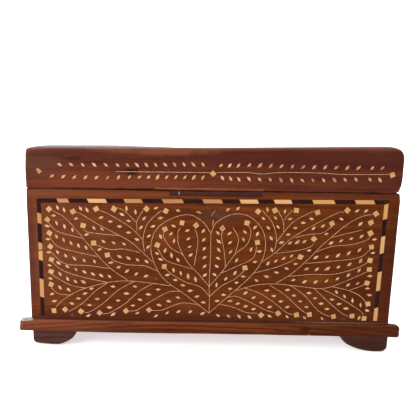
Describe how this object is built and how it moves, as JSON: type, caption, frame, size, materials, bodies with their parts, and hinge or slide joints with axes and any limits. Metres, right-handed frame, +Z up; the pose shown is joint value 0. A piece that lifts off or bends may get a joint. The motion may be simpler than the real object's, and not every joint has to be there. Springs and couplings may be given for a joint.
{
  "type": "bone inlay box",
  "caption": "Rectangular sheesham box with a lift-off lid, on base rails with block feet; the front has a bone and ebony tile border round a leafy vine inlay of bone and brass wire.",
  "frame": {"origin": "on the floor under the middle of the box, between its four feet", "axes": "+X along the front to its right end as seen from the front, +Y from the inlaid front to the back, +Z up"},
  "size_m": [0.319, 0.205, 0.1711],
  "materials": {
    "body_wood": "oiled sheesham, satin with age",
    "lid_wood": "oiled sheesham, dark purple-brown heartwood",
    "base_wood": "oiled sheesham with flowing dark grain, worn arris",
    "feet_wood": "dull dark sheesham, little finish left",
    "pale_strip": "oiled, lighter let-in strip",
    "dark_strip": "oiled, darker let-in strip",
    "bone": "yellowed bone, scraped flush",
    "ebony": "black wood, scraped flush",
    "brass_wire": "tarnished wire hammered into saw kerfs, rubbed flush"
  },
  "bodies": {
    "root": {"foot_front_left": "feet_wood", "foot_front_right": "feet_wood", "foot_back_left": "feet_wood", "foot_back_right": "feet_wood", "base_board": "base_wood", "base_front_rail": "base_wood", "base_back_rail": "base_wood", "front_board": "body_wood", "back_board": "body_wood", "left_board": "body_wood", "right_board": "body_wood", "body_repair_strip": "dark_strip", "lid_top_board": "lid_wood", "lid_front_rail": "lid_wood", "lid_back_rail": "lid_wood", "lid_left_rail": "lid_wood", "lid_right_rail": "lid_wood", "lid_repair_strip": "pale_strip", "top_border_1_ebony": "ebony", "top_border_2_bone": "bone", "top_border_3_ebony": "ebony", "top_border_4_bone": "bone", "top_border_5_ebony": "ebony", "top_border_6_bone": "bone", "top_border_7_ebony": "ebony", "top_border_8_bone": "bone", "top_border_9_ebony": "ebony", "top_border_10_bone": "bone", "top_border_11_ebony": "ebony", "top_border_12_bone": "bone", "top_border_13_ebony": "ebony", "top_border_14_bone": "bone", "top_border_15_ebony": "ebony", "top_border_16_bone": "bone", "top_border_17_ebony": "ebony", "top_border_18_bone": "bone", "top_border_19_ebony": "ebony", "left_border_1_ebony": "ebony", "left_border_2_bone": "bone", "left_border_3_ebony": "ebony", "left_border_4_bone": "bone", "left_border_5_bone": "bone", "left_border_6_ebony": "ebony", "left_border_7_bone": "bone", "left_border_8_ebony": "ebony", "right_border_1_bone": "bone", "right_border_2_ebony": "ebony", "right_border_3_bone": "bone", "right_border_4_ebony": "ebony", "right_border_5_bone": "bone", "right_border_6_ebony": "ebony", "right_border_7_bone": "bone"}
  },
  "joints": []
}
